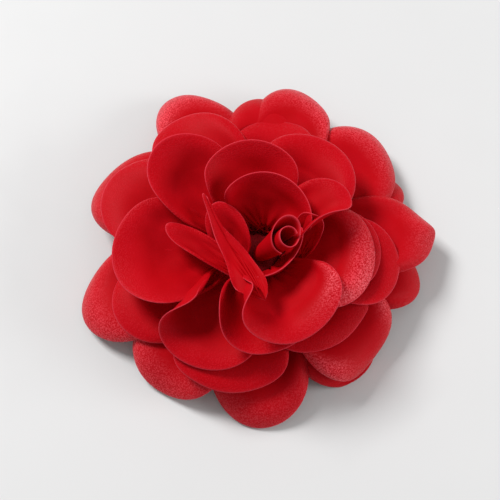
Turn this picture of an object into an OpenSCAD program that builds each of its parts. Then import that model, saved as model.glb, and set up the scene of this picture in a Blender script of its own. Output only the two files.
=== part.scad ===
// Fabric flower on a sprung metal hair clip. Millimetres.
// The clip lies along X under the flower, its tails towards -X. Z is up, out of the flower's face.

/* [Flower] */
// Thickness of one petal, two layers of bonded satin
petal_t = 0.4; // [0.3:0.05:0.5]
// Place of the flower's root along the clip
flower_x = 0; // [-4:0.5:4]
// Place of the flower's root and the clip along Y, so that the outline is centred on the origin
flower_y = -4; // [-6:0.5:4]
// Radius of the stitched core that the petals are sewn to
core_r = 7.6; // [7:0.1:7.8]

/* [Backing] */
// Diameter of the felt backing disc
disc_d = 40; // [36:1:42]
// Thickness of the felt
disc_t = 1.5; // [1:0.1:1.5]

/* [Clip] */
// Height of the upper jaw's flat back above the table
jaw_top = 8.4; // [8.4:0.1:8.6]
// Thickness of the pressed steel sheet
sheet_t = 0.8; // [0.6:0.1:0.9]
// Outside width of the upper jaw
jaw_w = 9; // [9:0.5:10]
// Length from the hinge pin to the jaw tips
nose_l = 32; // [28:1:36]
// Length from the hinge pin to the end of the finger tails
tail_l = 14; // [13:1:16]
// Diameter of the hinge pin
pin_d = 1.6; // [1.4:0.1:1.8]
// Wire diameter of the torsion spring
wire_d = 0.7; // [0.5:0.1:0.8]

/* [Hidden] */

steel = "silver";
satin = "crimson";
pin_x = -8;                  // hinge pin, along Y
pin_z = 4.4;
ear_t = sheet_t;
run = 0.03;                  // radial clearance on the pin
disc_z = jaw_top + 0.6;      // the felt sits on a 0.6 mm bed of glue
root_z = disc_z + disc_t + 0.4;
lower_w = jaw_w - 2 * ear_t - 0.8;

// ---------- cloth ----------
ROWS = 7;                    // cells from the root to the rim
COLS = 10;                   // cells from side to side
S0 = 0.12;                   // where the cloth begins, as a share of the blade
TM = 0.86;                   // how far round the outline goes, as a share of half a turn
RIM = 0.70;                  // the rim starts to roll back here
LOBE = 0.30;                 // roundness of the cut

// Side-to-side shape of the cut: 0 at the root and the tip, 1 at the widest.
function cut(th) = sin(th) * pow((1 + cos(th)) / 2, LOBE);
WIDEST = max([for (a = [0:1:180]) cut(a)]);

function bez(B, p) = pow(1 - p, 3) * B[0] + 3 * pow(1 - p, 2) * p * B[1]
    + 3 * (1 - p) * p * p * B[2] + pow(p, 3) * B[3];
function dbez(B, p) = pow(1 - p, 2) * (B[1] - B[0]) + 2 * (1 - p) * p * (B[2] - B[1])
    + p * p * (B[3] - B[2]);
function unit(v) = v / norm(v);
function level(a) = unit([a[0], a[1], 0]);

// One point of a petal's middle surface. s runs from root to rim, t from side to side.
// q = [root, tip, rise at root, rise at tip, width, left cup, right cup, twist at root, at tip, roll]
function skin(q, s, t) =
    let (
        h = level(q[1] - q[0]),
        d = 0.4 * norm(q[1] - q[0]),
        B = [q[0], q[0] + d * (cos(q[2]) * h + [0, 0, sin(q[2])]),
             q[1] - d * (cos(q[3]) * h + [0, 0, sin(q[3])]), q[1]],
        th = 180 * t,
        p = s * (1 + cos(th)) / 2,
        side = s * cut(abs(th)) * sign(th) / WIDEST,
        S = [-h[1], h[0], 0],
        N = unit(cross(dbez(B, p), S)),
        tw = q[7] * (1 - p) + q[8] * p,
        S2 = cos(tw) * S + sin(tw) * N,
        N2 = cos(tw) * N - sin(tw) * S,
        cup = side >= 0 ? q[5] : q[6],
        g = max(cup, 0.5),
        rho = q[4] * 90 / (g * PI),
        back = q[9] * cos(th / 2) * pow(max(0, (s - RIM) / (1 - RIM)), 2)
    )
    bez(B, p) + rho * sin(side * g) * S2 + (rho * (1 - cos(side * g)) - back) * N2;

// Closes a grid of points into a sheet of thickness t.
module sheet_of(V, t) {
    n = len(V);
    m = len(V[0]);
    k = n * m;
    nrm = [for (i = [0:n - 1]) for (j = [0:m - 1])
        unit(cross(V[min(i + 1, n - 1)][j] - V[max(i - 1, 0)][j],
                   V[i][min(j + 1, m - 1)] - V[i][max(j - 1, 0)]))];
    top = [for (i = [0:n - 1]) for (j = [0:m - 1]) V[i][j] + nrm[i * m + j] * t / 2];
    low = [for (i = [0:n - 1]) for (j = [0:m - 1]) V[i][j] - nrm[i * m + j] * t / 2];
    edge = concat([for (j = [0:m - 1]) j], [for (i = [1:n - 1]) i * m + m - 1],
        [for (j = [m - 2:-1:0]) (n - 1) * m + j], [for (i = [n - 2:-1:1]) i * m]);
    e = len(edge);
    polyhedron(points = concat(top, low), faces = concat(
        [for (i = [0:n - 2]) for (j = [0:m - 2]) each [
            [i * m + j, i * m + j + 1, i * m + m + j + 1],
            [i * m + j, i * m + m + j + 1, i * m + m + j],
            [k + i * m + j, k + i * m + m + j + 1, k + i * m + j + 1],
            [k + i * m + j, k + i * m + m + j, k + i * m + m + j + 1]]],
        [for (a = [0:e - 1]) each [
            [edge[a], k + edge[(a + 1) % e], edge[(a + 1) % e]],
            [edge[a], k + edge[a], k + edge[(a + 1) % e]]]]));
}

module blade(q) sheet_of([for (i = [0:ROWS]) [for (j = [0:COLS])
    skin(q, S0 + (1 - S0) * i / ROWS, TM * (2 * j / COLS - 1))]], petal_t);

// Stack levels: each petal further in is sewn on a little higher, and starts more steeply.
function rise(lv) = lookup(lv, [[0, 5], [1, 10], [2, 16], [3, 23], [4, 30], [5, 38], [6, 50], [7, 60], [8, 70]]);
function sewn_r(lv) = lv < 7 ? 9 - lv / 6 : 8;
function sewn_z(lv) = root_z + 0.9 * lv;

// A petal of a ring: [level, direction, reach, tip height, rise at tip, width, left cup, right cup, roll]
function ringed(v) = [
    [sewn_r(v[0]) * cos(v[1]) + flower_x, sewn_r(v[0]) * sin(v[1]) + flower_y, sewn_z(v[0])],
    [v[2] * cos(v[1]) + flower_x, v[2] * sin(v[1]) + flower_y, v[3]],
    rise(v[0]), v[4], v[5], v[6], v[7], 0, 0, v[8]];

// A petal that leans across the heart: [root, tip, rise at root, at tip, width, left cup, right cup, twist]
function leaning(v) = [v[0] + [flower_x, flower_y, 0], v[1] + [flower_x, flower_y, 0],
    v[2], v[3], v[4], v[5], v[6], v[7], v[7], 0];

OUTER = [
    [0.5, 113, 74, 9, -25, 33, 22, 0, 3],
    [1.2, 77, 70, 14, -20, 30, 0, 12, 2],
    [2, 88, 63, 18, -5, 28, 25, 25, 2],
    [0.5, 44, 66, 12, -20, 38, 0, 10, 2],
    [0.4, 31, 62, 10, -15, 26, 0, 0, 2],
    [1, 9, 64, 14, -12, 32, 20, 28, 2],
    [0, 354, 61, 7, -25, 30, 0, 0, 2],
    [1, 318, 58, 9, -35, 38, 15, 25, 3],
    [0, 312, 57, 4, -25, 32, 0, 0, 2],
    [0.5, 271, 60, 5, -20, 36, 25, 0, 2],
    [1, 232, 59, 7, -20, 39, 28, 0, 2],
    [1.5, 196, 66, 7, -20, 38, 20, 0, 3],
    [2, 150, 66, 10, -25, 40, 5, 5, 3]];

MIDDLE = [
    [3.6, 154, 60, 18, -5, 38, 20, 10, 1],
    [4, 120, 59, 22, 0, 35, 30, 30, 1],
    [3, 80, 52, 22, -5, 32, 5, 30, 1],
    [4.4, 356, 43, 24, 0, 31, 15, 30, 1],
    [3.6, 351, 50, 20, 0, 34, 30, 32, 1],
    [3.5, 312, 44, 19, 5, 36, 0, 28, 1],
    [3.5, 255, 51, 16, -5, 38, 10, 20, 1],
    [2.7, 205, 54, 15, -5, 35, 0, 0, 1],
    [4.3, 236, 47, 22, 10, 42, 15, 110, 1],
    [4.8, 187, 49, 28, 25, 43, 45, 28, 1],
    [5.4, 134, 48, 34, 42, 32, 48, 35, 0.5],
    [5, 54, 44, 31, 25, 37, 38, 32, 1],
    [6, 347, 39, 30, 20, 38, 45, 28, 2]];

HEART = [
    [6, 271, 40, 27, 10, 34, 30, 55, 0.5],
    [7, 292, 38, 32, 25, 42, 45, 112, 0.5],
    [7, 95, 34, 37, 55, 36, 50, 50, 0.5],
    [7, 25, 35, 35, 5, 22, 20, 80, 0.5],
    [8, 68, 20, 39, 80, 38, 60, 55, 0.5],
    [8, 306, 14.5, 35, 85, 34, 62, 62, 0.5]];

LEANING = [
    [[-6, -7, 19], [-14, 13, 31], 25, 25, 13, 10, 30, 0],
    [[3, -25, 36], [-18, 13, 39], -15, 25, 10, 40, 5, 0],
    [[-3, -13, 20], [-31, 5, 30], 50, 15, 10, 30, 30, 15],
    [[15, -4, 20], [19, 6, 37], 70, 85, 10, 30, 30, 0]];

module ring_petal(v) { color(satin) blade(ringed(v)); }
module lean_petal(v) { color(satin) blade(leaning(v)); }

module outer_petal_01() { ring_petal(OUTER[0]); }
module outer_petal_02() { ring_petal(OUTER[1]); }
module outer_petal_03() { ring_petal(OUTER[2]); }
module outer_petal_04() { ring_petal(OUTER[3]); }
module outer_petal_05() { ring_petal(OUTER[4]); }
module outer_petal_06() { ring_petal(OUTER[5]); }
module outer_petal_07() { ring_petal(OUTER[6]); }
module outer_petal_08() { ring_petal(OUTER[7]); }
module outer_petal_09() { ring_petal(OUTER[8]); }
module outer_petal_10() { ring_petal(OUTER[9]); }
module outer_petal_11() { ring_petal(OUTER[10]); }
module outer_petal_12() { ring_petal(OUTER[11]); }
module outer_petal_13() { ring_petal(OUTER[12]); }
module middle_petal_01() { ring_petal(MIDDLE[0]); }
module middle_petal_02() { ring_petal(MIDDLE[1]); }
module middle_petal_03() { ring_petal(MIDDLE[2]); }
module middle_petal_04() { ring_petal(MIDDLE[3]); }
module middle_petal_05() { ring_petal(MIDDLE[4]); }
module middle_petal_06() { ring_petal(MIDDLE[5]); }
module middle_petal_07() { ring_petal(MIDDLE[6]); }
module middle_petal_08() { ring_petal(MIDDLE[7]); }
module middle_petal_09() { ring_petal(MIDDLE[8]); }
module middle_petal_10() { ring_petal(MIDDLE[9]); }
module middle_petal_11() { ring_petal(MIDDLE[10]); }
module middle_petal_12() { ring_petal(MIDDLE[11]); }
module middle_petal_13() { ring_petal(MIDDLE[12]); }
module heart_petal_01() { ring_petal(HEART[0]); }
module heart_petal_02() { ring_petal(HEART[1]); }
module heart_petal_03() { ring_petal(HEART[2]); }
module heart_petal_04() { ring_petal(HEART[3]); }
module heart_petal_05() { ring_petal(HEART[4]); }
module heart_petal_06() { ring_petal(HEART[5]); }
module heart_petal_07() { lean_petal(LEANING[0]); }
module heart_petal_08() { lean_petal(LEANING[1]); }
module heart_petal_09() { lean_petal(LEANING[2]); }
module heart_petal_10() { lean_petal(LEANING[3]); }

// The rolled strip at the heart, wound about a leaning line.
bud_base = [1 + flower_x, -1 + flower_y, root_z + 6.6];
bud_top = [11 + flower_x, -3.5 + flower_y, 41];
BUD_TURNS = 1.7;
function wound(u, v) =
    let (
        H = norm(bud_top - bud_base),
        ax = unit(bud_top - bud_base),
        e1 = unit(cross(ax, [0, 1, 0])),
        e2 = cross(ax, e1),
        a = 360 * BUD_TURNS * u + 200,
        peak = exp(-pow((u - 0.7) / 0.1, 2)),
        r = (3 + 1.6 * u) * (0.5 + 0.5 * pow(v, 0.6)) + 3 * peak * pow(v, 3)
    )
    bud_base + H * v * (1 - 0.25 * u * u + 0.12 * peak) * ax + r * cos(a) * e1 + r * sin(a) * e2;

module bud_roll() {
    color(satin) sheet_of([for (i = [0:6]) [for (j = [0:28]) wound(j / 28, i / 6)]], petal_t);
}

// Gathered fabric, stitched into a short plug.
module stem_core() {
    color("firebrick") translate([flower_x, flower_y, disc_z + disc_t])
        rotate_extrude($fn = 48) polygon([[0, 0], [core_r - 0.4, 0], [core_r, 0.4],
            [core_r, 5.6], [core_r - 0.8, 6.4], [0, 6.4]]);
}

module backing_disc() {
    color("darkred") translate([flower_x, flower_y, disc_z]) cylinder(d = disc_d, h = disc_t, $fn = 96);
}

// ---------- clip ----------
module strip(l, w, t) {
    linear_extrude(t) union() {
        translate([0, -w / 2]) square([l, w]);
        translate([l, 0]) circle(d = w, $fn = 48);
        circle(d = w, $fn = 48);
    }
}

module glue_pad() {
    color("ivory") translate([-13, flower_y, jaw_top]) strip(28, jaw_w - 1, disc_z - jaw_top);
}

// A plate in the XZ plane, t thick, centred on y.
module side_plate(y, t) { translate([0, flower_y + y + t / 2, 0]) rotate([90, 0, 0]) linear_extrude(t) children(); }

module pin_hole() {
    translate([pin_x, flower_y, pin_z]) rotate([90, 0, 0])
        cylinder(d = pin_d + 2 * run, h = 2 * jaw_w, center = true, $fn = 48);
}

nose_x = pin_x + nose_l;
tail_x = pin_x - tail_l;

module upper_jaw() {
    color(steel) difference() {
        union() {
            translate([tail_x + jaw_w / 2, flower_y, jaw_top - sheet_t])
                strip(nose_x - tail_x - jaw_w, jaw_w, sheet_t);
            for (s = [-1, 1]) side_plate(s * (jaw_w - ear_t) / 2, ear_t) union() {
                polygon([[pin_x - 7, jaw_top - 0.2], [pin_x - 6, jaw_top - 2.4], [pin_x - 2.2, pin_z],
                    [pin_x + 2.2, pin_z], [pin_x + 5, jaw_top - 2.6], [nose_x - 6, jaw_top - 1.6],
                    [nose_x - 5, jaw_top - 0.2]]);
                translate([pin_x, pin_z]) circle(r = 2.2, $fn = 48);
            }
        }
        pin_hole();
    }
}

// The lower jaw's sheet bends at the pin: the nose rises to meet the upper jaw and the tail hangs
// away from it, so that a finger and thumb can squeeze the two tails together.
low_pin = pin_z - 2.4;       // top of the sheet under the pin
low_nose = jaw_top - sheet_t - 1.5;
low_tail = sheet_t;          // top of the tail's end, which is the lowest part of the clip
module lower_jaw() {
    color(steel) difference() {
        union() {
            intersection() {
                translate([0, flower_y + lower_w / 2, 0]) rotate([90, 0, 0]) linear_extrude(lower_w) polygon([
                    [tail_x, low_tail - sheet_t], [tail_x + 3, low_tail - sheet_t],
                    [pin_x, low_pin - sheet_t], [nose_x, low_nose - sheet_t], [nose_x, low_nose],
                    [pin_x, low_pin], [tail_x + 3, low_tail], [tail_x, low_tail]]);
                translate([tail_x + lower_w / 2, flower_y, -1])
                    strip(nose_x - tail_x - lower_w, lower_w, jaw_top);
            }
            for (s = [-1, 1]) side_plate(s * (lower_w - ear_t) / 2, ear_t) union() {
                polygon([[pin_x - 5, low_pin - 0.9], [pin_x + 12, low_pin + 1.2],
                    [pin_x + 5, pin_z + 0.6], [pin_x, pin_z + 2], [pin_x - 2, pin_z]]);
                translate([pin_x, pin_z]) circle(r = 2, $fn = 48);
            }
            // three teeth along each edge near the tip
            for (s = [-1, 1]) side_plate(s * (lower_w - ear_t - 2.2) / 2, ear_t) for (k = [0:2])
                let (x = nose_x - 4.4 - 2.6 * k, z = low_nose - (nose_x - x) * (low_nose - low_pin) / nose_l)
                polygon([[x - 0.9, z - 0.4], [x + 0.9, z - 0.4], [x, jaw_top - sheet_t - 0.35]]);
        }
        pin_hole();
    }
}

// A rivet with a head outside each ear of the upper jaw.
module hinge_pin() {
    color("dimgray") translate([pin_x, flower_y, pin_z]) rotate([90, 0, 0]) union() {
        cylinder(d = pin_d, h = jaw_w + 0.4, center = true, $fn = 48);
        for (s = [-1, 1]) translate([0, 0, s * (jaw_w / 2 + 0.3)])
            cylinder(r = 1.5, h = 0.6, center = true, $fn = 48);
    }
}

// ---------- torsion spring ----------
// Sweeps a round wire along a list of points.
module wire(path, d, n = 6) {
    m = len(path);
    dir = [for (i = [0:m - 1]) unit(path[min(i + 1, m - 1)] - path[max(i - 1, 0)])];
    side = [for (i = [0:m - 1]) unit(cross(dir[i], [0.02, 1, 0.03]))];
    pts = [for (i = [0:m - 1]) for (k = [0:n - 1])
        path[i] + d / 2 * (cos(360 * k / n) * side[i] + sin(360 * k / n) * cross(dir[i], side[i]))];
    polyhedron(points = pts, faces = concat([[for (k = [0:n - 1]) k]],
        [[for (k = [n - 1:-1:0]) (m - 1) * n + k]],
        [for (i = [0:m - 2]) for (k = [0:n - 1]) each [
            [i * n + k, i * n + n + (k + 1) % n, i * n + (k + 1) % n],
            [i * n + k, i * n + n + k, i * n + n + (k + 1) % n]]]));
}

coil_r = pin_d / 2 + 0.35 + wire_d / 2;
pitch = wire_d + 0.12;
TURNS = 3.5;
module torsion_spring() {
    half = TURNS * pitch / 2;
    coil = [for (i = [0:20 * TURNS]) let (a = 90 - 18 * i)
        [pin_x + coil_r * cos(a), flower_y - half + pitch * i / 20, pin_z + coil_r * sin(a)]];
    first = [tail_x + 5, flower_y - half, jaw_top - sheet_t - wire_d / 2 - 0.05];
    last = [tail_x + 5, flower_y + half, low_tail + 0.6 + wire_d / 2];
    color("gray") wire(concat([first], coil, [last]), wire_d);
}

backing_disc();
glue_pad();
upper_jaw();
lower_jaw();
hinge_pin();
torsion_spring();
stem_core();
outer_petal_01();
outer_petal_02();
outer_petal_03();
outer_petal_04();
outer_petal_05();
outer_petal_06();
outer_petal_07();
outer_petal_08();
outer_petal_09();
outer_petal_10();
outer_petal_11();
outer_petal_12();
outer_petal_13();
middle_petal_01();
middle_petal_02();
middle_petal_03();
middle_petal_04();
middle_petal_05();
middle_petal_06();
middle_petal_07();
middle_petal_08();
middle_petal_09();
middle_petal_10();
middle_petal_11();
middle_petal_12();
middle_petal_13();
heart_petal_01();
heart_petal_02();
heart_petal_03();
heart_petal_04();
heart_petal_05();
heart_petal_06();
heart_petal_07();
heart_petal_08();
heart_petal_09();
heart_petal_10();
bud_roll();
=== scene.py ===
import bpy
import math
import numpy as np
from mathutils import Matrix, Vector


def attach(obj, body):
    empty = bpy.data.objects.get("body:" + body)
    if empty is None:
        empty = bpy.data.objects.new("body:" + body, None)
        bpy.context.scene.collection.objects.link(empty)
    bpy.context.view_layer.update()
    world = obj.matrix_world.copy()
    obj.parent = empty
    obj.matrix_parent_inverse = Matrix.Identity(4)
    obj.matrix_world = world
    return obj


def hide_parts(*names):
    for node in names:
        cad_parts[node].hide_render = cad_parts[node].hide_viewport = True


# A satin flower on a sprung metal hair clip, lying face up on a table. Shapes are in mm, and MM turns
# them into the scene's metres.
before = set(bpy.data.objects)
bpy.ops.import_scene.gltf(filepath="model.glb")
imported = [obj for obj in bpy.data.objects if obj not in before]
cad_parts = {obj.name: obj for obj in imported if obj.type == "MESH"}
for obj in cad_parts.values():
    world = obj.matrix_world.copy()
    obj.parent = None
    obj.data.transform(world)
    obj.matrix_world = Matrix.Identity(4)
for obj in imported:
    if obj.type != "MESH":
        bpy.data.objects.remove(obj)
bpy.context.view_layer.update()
scene = bpy.context.scene
MM = 0.001
WHITE = (1, 1, 1)

# ---------------------------------------------------------------- camera, light, floor
camera_data = bpy.data.cameras.new("camera")
camera_data.lens, camera_data.sensor_width = 85, 36
camera = bpy.data.objects.new("camera", camera_data)
scene.collection.objects.link(camera)
scene.camera = camera
elevation = math.radians(68)
forward = Vector((0, math.cos(elevation), -math.sin(elevation)))
aim = Vector((-0.0023, -0.0003, 0.010))
camera.location = aim - forward * 0.425
camera.rotation_mode = "QUATERNION"
camera.rotation_quaternion = forward.to_track_quat("-Z", "Y")
scene.view_settings.view_transform = "Standard"


def softbox(name, at, size, watts):
    """A square white lamp that faces the flower."""
    light = bpy.data.lights.new(name, "AREA")
    light.shape, light.size, light.energy, light.color = "SQUARE", size, watts, WHITE
    lamp = bpy.data.objects.new(name, light)
    scene.collection.objects.link(lamp)
    lamp.location = at
    lamp.rotation_mode = "QUATERNION"
    lamp.rotation_quaternion = (Vector((0, 0, 0.02)) - Vector(at)).to_track_quat("-Z", "Y")


softbox("key", (-1.00, 0.84, 1.40), 0.64, 30)
softbox("fill", (0.80, -0.10, 0.36), 0.40, 3.0)
world = bpy.data.worlds.new("studio")
scene.world = world
world.use_nodes = True
world.node_tree.nodes["Background"].inputs["Color"].default_value = (*WHITE, 1)
world.node_tree.nodes["Background"].inputs["Strength"].default_value = 0.33


# ---------------------------------------------------------------- materials
class Nodes:
    """A short way to write a node material."""

    def __init__(self, name):
        self.material = bpy.data.materials.new(name)
        self.material.use_nodes = True
        self.tree = self.material.node_tree
        self.bsdf = self.tree.nodes["Principled BSDF"]
        self.where = self.tree.nodes.new("ShaderNodeTexCoord").outputs["Object"]

    def set(self, **values):
        for key, value in values.items():
            self.bsdf.inputs[key.replace("_", " ")].default_value = value
        return self

    def add(self, kind, **inputs):
        node = self.tree.nodes.new(kind)
        for key, value in inputs.items():
            self.plug(node, key.replace("_", " "), value)
        return node

    def plug(self, node, key, value):
        if isinstance(value, bpy.types.NodeSocket):
            self.tree.links.new(value, node.inputs[key])
        else:
            node.inputs[key].default_value = value

    def noise(self, size_mm, detail=2.0, stretch=(1, 1, 1), rough=0.5):
        where = self.where
        if stretch != (1, 1, 1):
            where = self.add("ShaderNodeMapping", Vector=where, Scale=stretch).outputs[0]
        return self.add("ShaderNodeTexNoise", Vector=where, Scale=1000 / size_mm, Detail=detail,
                        Roughness=rough).outputs["Fac"]

    def cells(self, size_mm):
        return self.add("ShaderNodeTexVoronoi", Vector=self.where, Scale=1000 / size_mm).outputs["Distance"]

    def ramp(self, value, *stops):
        node = self.add("ShaderNodeValToRGB", Fac=value)
        while len(node.color_ramp.elements) < len(stops):
            node.color_ramp.elements.new(0.5)
        for element, (at, colour) in zip(node.color_ramp.elements, stops):
            grey = not hasattr(colour, "__len__")
            element.position = at
            element.color = (colour, colour, colour, 1) if grey else (*colour, 1)
        return node.outputs["Color"]

    def mix(self, value, a, b, kind="MIX"):
        node = self.tree.nodes.new("ShaderNodeMix")
        node.data_type, node.blend_type = "RGBA", kind
        for key, v in (("Factor", value), ("A", a), ("B", b)):
            socket = [i for i in node.inputs if i.name == key and i.enabled][0]
            if isinstance(v, bpy.types.NodeSocket):
                self.tree.links.new(v, socket)
            else:
                socket.default_value = v if key == "Factor" else (*v, 1)
        return [o for o in node.outputs if o.enabled][0]

    def math(self, kind, a, b=0.0):
        node = self.tree.nodes.new("ShaderNodeMath")
        node.operation = kind
        self.plug(node, 0, a)
        self.plug(node, 1, b)
        return node.outputs[0]

    def attribute(self, name):
        node = self.tree.nodes.new("ShaderNodeAttribute")
        node.attribute_name = name
        return node.outputs["Fac"]

    def bump(self, *layers):
        """Layers of (height, depth in mm, strength)."""
        normal = None
        for height, depth_mm, strength in layers:
            node = self.add("ShaderNodeBump", Height=height, Distance=depth_mm * MM, Strength=strength)
            if normal is not None:
                self.tree.links.new(normal, node.inputs["Normal"])
            normal = node.outputs["Normal"]
        self.tree.links.new(normal, self.bsdf.inputs["Normal"])
        return self

    def link(self, **values):
        for key, value in values.items():
            self.tree.links.new(value, self.bsdf.inputs[key.replace("_", " ")])
        return self


def satin_cloth(name):
    """Matte dark red, with painted shade inside the cups, and a painted highlight and a sparkling
    sheen where a rim rolls over.

    The marks on the mesh, from 0 to 1, say where: rim, painted shade towards the root, gleam
    (a painted highlight), and the singed edge (a painted highlight line).
    """
    m = Nodes(name)
    rim = m.attribute("rim")
    grain = m.cells(0.45)
    fine = m.noise(0.32, 2)
    colour = m.mix(m.ramp(m.noise(9, 3), (0.35, 0.0), (0.7, 1.0)), SATIN_DARK, SATIN_RED)
    # Painted shade: the cups are mixed towards a darker red towards the root.
    colour = m.mix(m.attribute("cup_painted_shade"), colour, SATIN_PAINTED_SHADE)
    # Painted highlight: rolled rims are mixed towards a lighter red, with lighter sparks where the grain is.
    painted_sparkle = m.math("MULTIPLY", m.ramp(grain, (0.10, 1.0), (0.45, 0.0)), rim)
    colour = m.mix(m.math("MULTIPLY", rim, 0.35), colour, (0.60, 0.0045, 0.0120))
    colour = m.mix(m.math("MULTIPLY", painted_sparkle, 0.30), colour, (0.90, 0.040, 0.070))
    # Painted highlight: a grainy pink-red glint where the gleam mark is; the same glint also raises the
    # sheen and specular below.
    glint = m.math("MULTIPLY", m.attribute("gleam"), m.ramp(m.noise(0.5, 3), (0.42, 0.05), (0.62, 1.0)))
    colour = m.mix(m.math("MULTIPLY", glint, 0.85), colour, (1.0, 0.070, 0.100))
    # Painted highlight: a lighter line along the singed edge.
    colour = m.mix(m.attribute("edge"), colour, (0.72, 0.040, 0.065))
    m.set(Sheen_Roughness=0.30, Sheen_Tint=(1, 0.22, 0.28, 1), Specular_Tint=(1, 0.45, 0.50, 1))
    m.link(Base_Color=colour, Specular_IOR_Level=m.math("ADD", m.math("MULTIPLY", glint, 0.7), 0.09),
           Roughness=m.mix(rim, (0.60, 0.60, 0.60), (0.38, 0.38, 0.38)),
           Sheen_Weight=m.math("ADD", m.math("MULTIPLY", rim, 0.06), m.math("MULTIPLY", glint, 0.9)))
    rumples = m.noise(5, 3)
    m.bump((rumples, 0.35, 0.3), (m.math("MULTIPLY", grain, rim), 0.12, 0.9), (fine, 0.03, 0.35))
    return m.material


def core_cloth(name):
    """Gathered cloth under the petals, coloured dark as painted shade."""
    m = Nodes(name)
    # Painted shade: a far darker red than the satin above.
    colour = m.mix(m.noise(1.2, 3), (0.20, 0.002, 0.005), (0.34, 0.004, 0.010))
    m.set(Specular_IOR_Level=0.15)
    m.link(Base_Color=colour, Roughness=m.ramp(m.noise(0.5), (0.3, 0.6), (0.7, 0.85)))
    m.bump((m.noise(0.45, 2), 0.12, 0.7))
    return m.material


def felt(name):
    """Matted fibres, uneven in colour."""
    m = Nodes(name)
    fibre = m.noise(0.7, 6, (1, 1, 0.4), 0.7)
    colour = m.mix(m.ramp(fibre, (0.35, 0.0), (0.65, 1.0)), (0.20, 0.003, 0.008), (0.42, 0.012, 0.022))
    colour = m.mix(m.ramp(m.noise(8, 2), (0.3, 0.0), (0.8, 0.4)), colour, (0.30, 0.010, 0.016))
    m.set(Sheen_Weight=0.15, Sheen_Roughness=0.6, Sheen_Tint=(1, 0.3, 0.3, 1), Specular_IOR_Level=0.1)
    m.link(Base_Color=colour, Roughness=m.ramp(fibre, (0.3, 0.85), (0.7, 1.0)))
    m.bump((fibre, 0.35, 0.9), (m.noise(0.22, 2), 0.08, 0.6))
    return m.material


def metal(name, colour, dull, rough, stretch):
    """Metal that is brushed along the axis with the smallest stretch, and dull where it is worn."""
    m = Nodes(name)
    brushed = m.noise(0.6, 4, stretch)
    wear = m.noise(4, 4)
    m.set(Metallic=1.0)
    m.link(Base_Color=m.mix(m.ramp(wear, (0.42, 0.0), (0.68, 1.0)), colour, dull),
           Roughness=m.ramp(brushed, (0.3, rough), (0.75, rough + 0.16)))
    m.bump((brushed, 0.02, 0.35), (wear, 0.05, 0.15))
    return m.material


def glue(name):
    """Set hot glue: cloudy, glossy and slightly see-through."""
    m = Nodes(name)
    cloud = m.noise(3, 3)
    m.set(Specular_IOR_Level=0.5, Subsurface_Weight=0.3, Subsurface_Radius=(0.002, 0.0016, 0.001),
          Subsurface_Scale=0.5)
    m.link(Base_Color=m.mix(cloud, (0.62, 0.52, 0.36), (0.78, 0.70, 0.52)),
           Roughness=m.ramp(cloud, (0.3, 0.25), (0.7, 0.42)))
    m.bump((m.noise(2.2, 2), 0.3, 0.5))
    return m.material


def table_top(name):
    """A plain pale table."""
    m = Nodes(name)
    m.link(Base_Color=m.mix(m.noise(60, 2), (0.77, 0.77, 0.77), (0.79, 0.79, 0.79)),
           Roughness=m.ramp(m.noise(20, 2), (0.3, 0.5), (0.7, 0.6)))
    return m.material


SATIN_RED = (0.53, 0.0022, 0.0075)
SATIN_DARK = (0.49, 0.0014, 0.0050)
# Painted shade, mixed into the cups towards the root.
SATIN_PAINTED_SHADE = (0.50, 0.0012, 0.0050)
SATIN = satin_cloth("satin_red")
NICKEL_SHEET = metal("nickel_sheet", (0.70, 0.70, 0.71), (0.64, 0.64, 0.65), 0.22, (0.06, 1, 1))
HARD_MATERIALS = {
    "upper_jaw": NICKEL_SHEET,
    "lower_jaw": NICKEL_SHEET,
    "hinge_pin": metal("rivet_steel", (0.45, 0.45, 0.46), (0.34, 0.34, 0.35), 0.28, (1, 0.1, 1)),
    "torsion_spring": metal("spring_wire", (0.38, 0.38, 0.40), (0.25, 0.25, 0.26), 0.24, (1, 1, 1)),
    "glue_pad": glue("set_glue")}
for node, material in HARD_MATERIALS.items():
    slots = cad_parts[node].data.materials
    slots.clear()
    slots.append(material)


def piece(name, points, faces, material, marks=None):
    """A smooth mesh piece from points in mm, riding on the flower; marks are values at its points."""
    mesh = bpy.data.meshes.new(name)
    mesh.from_pydata((np.asarray(points) * MM).tolist(), [], faces)
    mesh.update()
    mesh.materials.append(material)
    mesh.polygons.foreach_set("use_smooth", [True] * len(mesh.polygons))
    for mark, values in (marks or {}).items():
        layer = mesh.attributes.new(mark, "FLOAT", "POINT")
        layer.data.foreach_set("value", np.asarray(values, np.float32))
    made = bpy.data.objects.new(name, mesh)
    scene.collection.objects.link(made)
    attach(made, "flower")
    return made


# ---------------------------------------------------------------- cloth, the same shapes as the CAD
FX, FY = 0.0, -4.0   # the flower's middle
ROOT_Z = 10.9         # height of the lowest roots
S0 = 0.12             # where a petal leaves the core, from 0 at the very root to 1 at its rim
TM = 0.86             # how far round its outline a petal is cut, from 0 at the tip to 1 at the root
RIM = 0.70            # where the rim starts to curl back
LOBE = 0.30           # fullness of the outline near the root
THICK = 0.4           # thickness of the cloth


def cut(th):
    """Half the width of the flat petal, at an angle round its outline from the tip."""
    return np.sin(th) * ((1 + np.cos(th)) / 2) ** LOBE


WIDEST = cut(np.linspace(0, np.pi, 181)).max()


def unit(v):
    """Vectors of length 1."""
    return v / np.linalg.norm(v, axis=-1, keepdims=True)


def rad(a):
    return a * math.pi / 180


def spine(q):
    """A petal's direction in plan, and the four control points of its middle line."""
    q0, q1 = np.array(q[0], float), np.array(q[1], float)
    h = unit(np.array([q1[0] - q0[0], q1[1] - q0[1], 0]))
    d = 0.4 * np.linalg.norm(q1 - q0)
    up = np.array([0, 0, 1])
    return h, np.array([q0, q0 + d * (math.cos(rad(q[2])) * h + math.sin(rad(q[2])) * up),
                        q1 - d * (math.cos(rad(q[3])) * h + math.sin(rad(q[3])) * up), q1])


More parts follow.
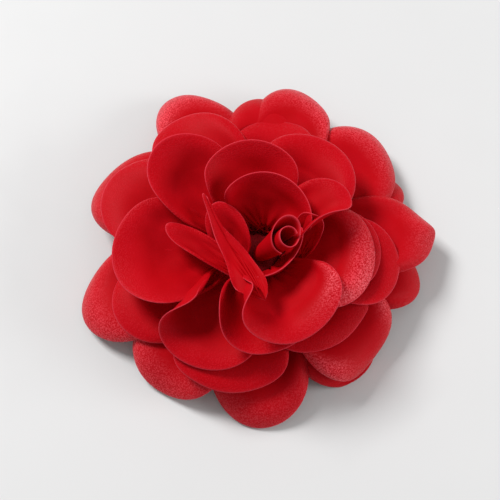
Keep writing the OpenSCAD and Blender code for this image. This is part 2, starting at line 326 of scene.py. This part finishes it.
def bez(B, p):
    """Points on the middle line, at p from 0 to 1."""
    p = p[..., None]
    return (1 - p) ** 3 * B[0] + 3 * (1 - p) ** 2 * p * B[1] + 3 * (1 - p) * p * p * B[2] + p ** 3 * B[3]


def dbez(B, p):
    """The middle line's direction, at p from 0 to 1."""
    p = p[..., None]
    return (1 - p) ** 2 * (B[1] - B[0]) + 2 * (1 - p) * p * (B[2] - B[1]) + p * p * (B[3] - B[2])


def skin(q, s, t):
    """Points of a petal's middle surface; s runs from root to rim, t from side to side."""
    h, B = spine(q)
    th = math.pi * t
    p = s * (1 + np.cos(th)) / 2
    side = s * cut(np.abs(th)) * np.sign(th) / WIDEST
    S = np.array([-h[1], h[0], 0])
    N = unit(np.cross(dbez(B, p), S))
    tw = rad(q[7] * (1 - p) + q[8] * p)[..., None]
    S2, N2 = np.cos(tw) * S + np.sin(tw) * N, np.cos(tw) * N - np.sin(tw) * S
    g = rad(np.maximum(np.where(side >= 0, q[5], q[6]), 0.5))
    rho = q[4] / (2 * g)
    back = q[9] * np.cos(th / 2) * np.maximum(0, (s - RIM) / (1 - RIM)) ** 2
    return (bez(B, p) + (rho * np.sin(side * g))[..., None] * S2
            + (rho * (1 - np.cos(side * g)) - back)[..., None] * N2)


# How steeply petals leave the core, in degrees, by their level on it.
LEVELS = [0, 1, 2, 3, 4, 5, 6, 7, 8]
RISES = [5, 10, 16, 23, 30, 38, 50, 60, 70]
LEVEL_STEP = 0.9


# A petal is a list: root, tip, rise at the root, rise at the tip, width, left and right cup, twist at
# the root and at the tip, and roll of the rim.
def ringed(level, turn, reach, high, tip, width, left, right, roll):
    """A petal that points straight out from the middle."""
    r, c, s = (9 - level / 6 if level < 7 else 8), math.cos(rad(turn)), math.sin(rad(turn))
    return [(r * c + FX, r * s + FY, ROOT_Z + LEVEL_STEP * level), (reach * c + FX, reach * s + FY, high),
            float(np.interp(level, LEVELS, RISES)), tip, width, left, right, 0, 0, roll]


def leaning(root, tip, rise, end, width, left, right, twist):
    """A petal between two given places."""
    return [(root[0] + FX, root[1] + FY, root[2]), (tip[0] + FX, tip[1] + FY, tip[2]),
            rise, end, width, left, right, twist, twist, 0]


# level, direction, reach, tip height, rise at tip, width, left cup, right cup, roll
OUTER = [
    (0.5, 113, 74, 9, -25, 33, 22, 0, 3), (1.2, 77, 70, 14, -20, 30, 0, 12, 2),
    (2, 88, 63, 18, -5, 28, 25, 25, 2), (0.5, 44, 66, 12, -20, 38, 0, 10, 2),
    (0.4, 31, 62, 10, -15, 26, 0, 0, 2), (1, 9, 64, 14, -12, 32, 20, 28, 2),
    (0, 354, 61, 7, -25, 30, 0, 0, 2), (1, 318, 58, 9, -35, 38, 15, 25, 3),
    (0, 312, 57, 4, -25, 32, 0, 0, 2), (0.5, 271, 60, 5, -20, 36, 25, 0, 2),
    (1, 232, 59, 7, -20, 39, 28, 0, 2), (1.5, 196, 66, 7, -20, 38, 20, 0, 3),
    (2, 150, 66, 10, -25, 40, 5, 5, 3)]
MIDDLE = [
    (3.6, 154, 60, 18, -5, 38, 20, 10, 1), (4, 120, 59, 22, 0, 35, 30, 30, 1),
    (3, 80, 52, 22, -5, 32, 5, 30, 1), (4.4, 356, 43, 24, 0, 31, 15, 30, 1),
    (3.6, 351, 50, 20, 0, 34, 30, 32, 1), (3.5, 312, 44, 19, 5, 36, 0, 28, 1),
    (3.5, 255, 51, 16, -5, 38, 10, 20, 1), (2.7, 205, 54, 15, -5, 35, 0, 0, 1),
    (4.3, 236, 47, 22, 10, 42, 15, 110, 1), (4.8, 187, 49, 28, 25, 43, 45, 28, 1),
    (5.4, 134, 48, 34, 42, 32, 48, 35, 0.5), (5, 54, 44, 31, 25, 37, 38, 32, 1),
    (6, 347, 39, 30, 20, 38, 45, 28, 2)]
HEART = [
    (6, 271, 40, 27, 10, 34, 30, 55, 0.5), (7, 292, 38, 32, 25, 42, 45, 112, 0.5),
    (7, 95, 34, 37, 55, 36, 50, 50, 0.5), (7, 25, 35, 35, 5, 22, 20, 80, 0.5),
    (8, 68, 20, 39, 80, 38, 60, 55, 0.5), (8, 306, 14.5, 35, 85, 34, 62, 62, 0.5)]
# root, tip, rise at root, rise at tip, width, left cup, right cup, twist
LEANING = [
    ((-6, -7, 19), (-14, 13, 31), 25, 25, 13, 10, 30, 0),
    ((3, -25, 36), (-18, 13, 39), -15, 25, 10, 40, 5, 0),
    ((-3, -13, 20), (-31, 5, 30), 50, 15, 10, 30, 30, 15),
    ((15, -4, 20), (19, 6, 37), 70, 85, 10, 30, 30, 0)]

BLADES = {}
for ring, rows in (("outer", OUTER), ("middle", MIDDLE), ("heart", HEART)):
    for i, row in enumerate(rows):
        BLADES[f"{ring}_petal_{i + 1:02d}"] = ringed(*row)
for i, row in enumerate(LEANING):
    BLADES[f"heart_petal_{i + 7:02d}"] = leaning(*row)

# Moves of the cloth, in mm: where along the rim (t), how far round (spread), (x, y, z) there.
PULLS = {
    "heart_petal_07": [(-0.5, 0.25, (2, -3, 0))],
    "middle_petal_09": [(-0.5, 0.2, (5, -5, -3))],
    "heart_petal_02": [(-0.5, 0.12, (3, 0, 0)), (-0.28, 0.15, (-4, -1, 0))],
    "heart_petal_08": [(0.25, 0.15, (1.5, 1, 0)), (-0.3, 0.2, (-4, -2.4, 0)),
                       (0.7, 0.12, (-3, -2, 0)), (-0.75, 0.12, (1.5, 0.5, 0))],
    "heart_petal_04": [(-0.35, 0.2, (-1, 2, 1.5))],
    "outer_petal_06": [(0.02, 0.10, (2, 0.5, 1))],
    "outer_petal_01": [(0, 0.6, (-1, 2.5, 1))],
    "outer_petal_02": [(-0.35, 0.15, (2, 1, 0)), (0, 0.6, (0, 1.5, 0.5))],
    "outer_petal_04": [(0.15, 0.45, (0, 2.8, 0.5)), (-0.5, 0.3, (0, 0, -2.5))],
    "outer_petal_13": [(0, 0.6, (-2.2, 1, 0.5))],
    "outer_petal_05": [(-0.1, 0.2, (1, 0, 0))],
    "middle_petal_06": [(0.25, 0.12, (3, 1, 1)), (-0.1, 0.2, (0, 1, 0))],
    "middle_petal_07": [(-0.3, 0.15, (-1, -3, 0)), (0.35, 0.15, (2, -1, 0))],
    "heart_petal_01": [(0.3, 0.15, (1, -1, 0)), (-0.5, 0.2, (2, 0, 2))],
    "middle_petal_03": [(-0.5, 0.3, (0, 0, -1.5))],
}
LOWEST = 0.8    # the rims rest on the table, in mm
SINGED = 0.45   # how much of its thickness the cloth loses at its edge
OUTWARD = 0.45  # how far a rim goes out for each mm that it rolls over
# Rim waves: depth in mm, waves across the rim, how far the rim rolls over and the belly sinks, in mm.
RING_WAVES = {"outer": (1.0, 3, 3.0, 0.8), "middle": (0.8, 3, 1.5, 1.5), "heart": (0.4, 3, 0.5, 0.8)}
WAVES = {"middle_petal_13": (0.3, 2, 3.5, 2.0), "middle_petal_12": (0.6, 2, 2.5, 2.4),
         "heart_petal_02": (0.3, 2, 2.0, 0.7), "heart_petal_01": (0.3, 2, 0.5, 1.2),
         "middle_petal_11": (0.3, 2, 1.0, 1.2), "middle_petal_10": (0.3, 2, 1.0, 0.8),
         "heart_petal_08": (0.2, 2, 0, 0)}
# Where a rolled rim gets a painted highlight and more sheen and specular: (t, spread, strength).
GLEAMS = {
    "middle_petal_13": [(-0.1, 0.3, 1.0)],
    "heart_petal_02": [(0.35, 0.2, 0.7)],
    "outer_petal_01": [(0.2, 0.5, 1.0)],
    "outer_petal_02": [(-0.2, 0.4, 0.8)],
    "outer_petal_04": [(0.1, 0.35, 0.7)],
    "outer_petal_06": [(0.0, 0.2, 0.4)],
    "outer_petal_08": [(0.35, 0.15, 0.7), (-0.3, 0.15, 0.9)],
    "outer_petal_10": [(0.0, 0.4, 0.3)],
    "outer_petal_11": [(-0.1, 0.5, 0.5)],
    "outer_petal_12": [(0.2, 0.4, 0.6)],
    "outer_petal_13": [(0.3, 0.3, 0.3)]}


def smooth(x):
    """Eases from 0 to 1."""
    x = np.clip(x, 0, 1)
    return x * x * (3 - 2 * x)


def shaping(name):
    """A petal's rim waves, from its own row or its ring's."""
    return WAVES.get(name, RING_WAVES[name.split("_")[0]])


def relief(name, seed, s, t):
    """How far the cloth stands off the plain petal, in mm: rim waves, rolled rim, belly, creases, pleats."""
    rng = np.random.RandomState(seed)
    depth, waves, roll, belly = shaping(name)
    a, b, c, d = rng.uniform(0, 2 * math.pi, 4)
    across = np.cos(math.pi * t / 2)
    wave = depth * smooth((s - 0.55) / 0.45) * np.sin(2 * math.pi * waves * t * 0.5 + a)
    over = np.clip((s - RIM) / (1 - RIM), 0, 1)
    wave += roll * (2 * over ** 2.5 - over) * across
    wave += belly * np.sin(math.pi * s) ** 2 * across
    crease = 0.45 * np.sin(15 * t + b + 3 * s) * smooth(s * 1.4) * (1 - 0.5 * s)
    crease += 0.16 * np.sin(11 * s + 9 * t + c) + 0.10 * np.sin(19 * s - 14 * t + d)
    pleat = 0.6 * np.sin(2 * math.pi * 5 * t + d) * smooth(s * 5) * (1 - smooth(s * 1.5))
    # The flanks and the root stay plain.
    fade = smooth((1 - np.abs(t) / TM) * 5) * smooth(s * (1 + np.cos(math.pi * t)) / 0.3)
    return (wave + crease + pleat) * fade


def blade_surface(name, q, seed, s, t):
    """The fine middle surface: the CAD's, with pulls, rim waves and soft creases."""
    V = skin(q, s, t)
    for at, spread, move in PULLS.get(name, []):
        w = smooth((s - 0.25) / 0.75) * np.exp(-((t - at) / spread) ** 2)
        V = V + w[..., None] * np.array(move, float)
    du, dv = np.gradient(V, axis=0), np.gradient(V, axis=1)
    N = unit(np.cross(dv, du))
    # A rim that rolls over is pushed outwards, to keep its reach.
    roll = shaping(name)[2]
    V = V + (OUTWARD * roll * s * s * np.cos(math.pi * t / 2))[..., None] * spine(q)[0]
    V = V + relief(name, seed, s, t)[..., None] * N
    V[..., 2] = np.maximum(V[..., 2], LOWEST)
    return V


def gleam(name, s, t):
    """The mark that paints a highlight on a rolled rim and raises its sheen and specular."""
    spots = np.zeros_like(t)
    for at, spread, power in GLEAMS.get(name, []):
        spots += power * np.exp(-((t - at) / spread) ** 2)
    return spots * smooth((s - 0.76) / 0.14)


def shell(V, s):
    """Closes a grid of points into cloth with a thin, singed edge; s is 0 at the root, 1 at the rim.

    Returns the points, the faces and the marks that satin_cloth reads.
    """
    n, m = V.shape[:2]
    du, dv = np.gradient(V, axis=0), np.gradient(V, axis=1)
    N = unit(np.cross(dv, du))
    edge = np.zeros((n, m))
    edge[-1], edge[1:, 0], edge[1:, -1] = 1, 1, 1
    half = (THICK / 2 * (1 - SINGED * edge))[..., None]
    k = n * m
    points = np.concatenate([(V + N * half).reshape(-1, 3), (V - N * half).reshape(-1, 3)])
    ids = np.arange(k).reshape(n, m)
    a, b, c, d = ids[:-1, :-1].ravel(), ids[:-1, 1:].ravel(), ids[1:, 1:].ravel(), ids[1:, :-1].ravel()
    faces = list(zip(a, b, c, d)) + list(zip(k + a, k + d, k + c, k + b))
    ring = np.concatenate([ids[0, :], ids[1:, -1], ids[-1, -2::-1], ids[-2:0:-1, 0]])
    nxt = np.roll(ring, -1)
    faces += list(zip(ring, k + ring, k + nxt, nxt))
    # The edge mark: a painted highlight line along the singed edge, fading in over one row.
    shade = edge.copy()
    shade[-2] = np.maximum(shade[-2], 0.15)
    # The third mark is painted shade, darker towards the root; the rim mark is where the rolled rim is
    # painted lighter and made glossier.
    marks = {"edge": shade, "rim": smooth((s - 0.76) / 0.22), "cup_painted_shade": 1 - smooth((s - 0.1) / 0.65)}
    marks = {mark: both_sides(values) for mark, values in marks.items()}
    return points, [tuple(int(x) for x in f) for f in faces], marks


def both_sides(values):
    """A value at each grid point, for the top and the underside of a shell."""
    return np.concatenate([values.ravel()] * 2)


def blade_grid(rows=46, cols=80):
    """Where on a petal its points lie: closer together towards the rim."""
    s = S0 + (1 - S0) * np.append(np.linspace(0, 0.99, rows) ** 0.9, 1.0)
    t = TM * np.linspace(-1, 1, cols)
    return np.meshgrid(s, t, indexing="ij")


FIRST_SEED = 100
for i, (name, q) in enumerate(BLADES.items()):
    s, t = blade_grid()
    V = blade_surface(name, q, FIRST_SEED + i, s, t)
    points, faces, marks = shell(V, s)
    marks["gleam"] = both_sides(gleam(name, s, t))
    petal = piece(name.replace("petal", "satin_petal"), points, faces, SATIN, marks=marks)
    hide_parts(name)

# ---------------------------------------------------------------- the rolled strip at the heart
BUD_BASE = np.array([1 + FX, -1 + FY, ROOT_Z + 6.6])
BUD_TOP = np.array([11 + FX, -3.5 + FY, 41])
BUD_TURNS = 1.7


def wound(u, v):
    """The rolled strip; u runs along it from its inner end, v from its foot to its mouth."""
    H = np.linalg.norm(BUD_TOP - BUD_BASE)
    ax = (BUD_TOP - BUD_BASE) / H
    e1 = unit(np.cross(ax, [0, 1, 0]))
    e2 = np.cross(ax, e1)
    a = 2 * math.pi * BUD_TURNS * u + rad(200)
    peak = np.exp(-((u - 0.7) / 0.1) ** 2)
    r = (3 + 1.6 * u) * (0.5 + 0.5 * v ** 0.6) + 3 * peak * v ** 3
    return (BUD_BASE + (H * v * (1 - 0.25 * u * u + 0.12 * peak))[..., None] * ax
            + (r * np.cos(a))[..., None] * e1 + (r * np.sin(a))[..., None] * e2)


u, v = np.meshgrid(np.linspace(0, 1, 120), np.linspace(0, 1, 30))
V = wound(u, v)
points, faces, marks = shell(V, 0.85 * v)
bud = piece("satin_bud_roll", points, faces, SATIN, marks=marks)
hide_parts("bud_roll")


# ---------------------------------------------------------------- felt and core
def turned(name, profile, around, material, wobble, seed):
    """A turned soft solid whose outline is uneven: profile of (radius, z), points around."""
    rng = np.random.RandomState(seed)
    profile = np.array(profile, float)
    a = np.linspace(0, 2 * math.pi, around, endpoint=False)
    phase = rng.uniform(0, 2 * math.pi, 4)
    bumps = wobble(a, phase)
    rings = [np.stack([FX + (r * (1 + bumps)) * np.cos(a), FY + (r * (1 + bumps)) * np.sin(a),
                       np.full(around, z)], 1) for r, z in profile]
    points = np.concatenate(rings + [[[FX, FY, profile[0, 1]], [FX, FY, profile[-1, 1]]]])
    faces, n = [], len(profile)
    for i in range(n - 1):
        for j in range(around):
            k = (j + 1) % around
            faces.append((i * around + j, i * around + k, (i + 1) * around + k, (i + 1) * around + j))
    low, top = n * around, n * around + 1
    for j in range(around):
        k = (j + 1) % around
        faces.append((low, k, j))
        faces.append((top, (n - 1) * around + j, (n - 1) * around + k))
    return piece(name, points, faces, material)


def rounded(r, z0, z1, edge):
    """A disc's profile with rounded rims."""
    arc = [rad(x) for x in (-90, -60, -30, 0)]
    low = [(r - edge + edge * math.cos(x), z0 + edge + edge * math.sin(x)) for x in arc]
    top = [(r - edge + edge * math.cos(-x), z1 - edge + edge * math.sin(-x)) for x in reversed(arc)]
    inner = [(r * k, z0) for k in (0.3, 0.6, 0.85)]
    return inner + low + top + [(x, z1) for x, _ in reversed(inner)]


def cut_by_hand(a, phase):
    """A disc's outline as scissors leave it."""
    return 0.006 * np.sin(3 * a + phase[0]) + 0.004 * np.sin(7 * a + phase[1]) - 0.006


def gathered(a, phase):
    """The outline of cloth that is drawn together by a thread."""
    return 0.03 * np.sin(14 * a + phase[0]) + 0.015 * np.sin(23 * a + phase[1]) - 0.03


disc = turned("felt_disc", rounded(20, 9.0, 10.5, 0.35), 160, felt("felt_red"), cut_by_hand, 5)
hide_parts("backing_disc")
CORE_PROFILE = [(3, 10.5), (7.2, 10.5), (7.6, 10.9), (7.6, 13), (7.6, 15), (7.5, 16.1), (7.0, 16.8),
                (3, 16.9)]
core = turned("gathered_core", CORE_PROFILE, 160, core_cloth("core_satin"), gathered, 6)
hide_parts("stem_core")

# ---------------------------------------------------------------- floor
half = 3.0
corners = [(-half, -half, 0), (half, -half, 0), (half, half, 0), (-half, half, 0)]
floor_mesh = bpy.data.meshes.new("table_top")
floor_mesh.from_pydata(corners, [], [(0, 1, 2, 3)])
floor_mesh.materials.append(table_top("pale_table"))
floor = bpy.data.objects.new("table_top", floor_mesh)
scene.collection.objects.link(floor)
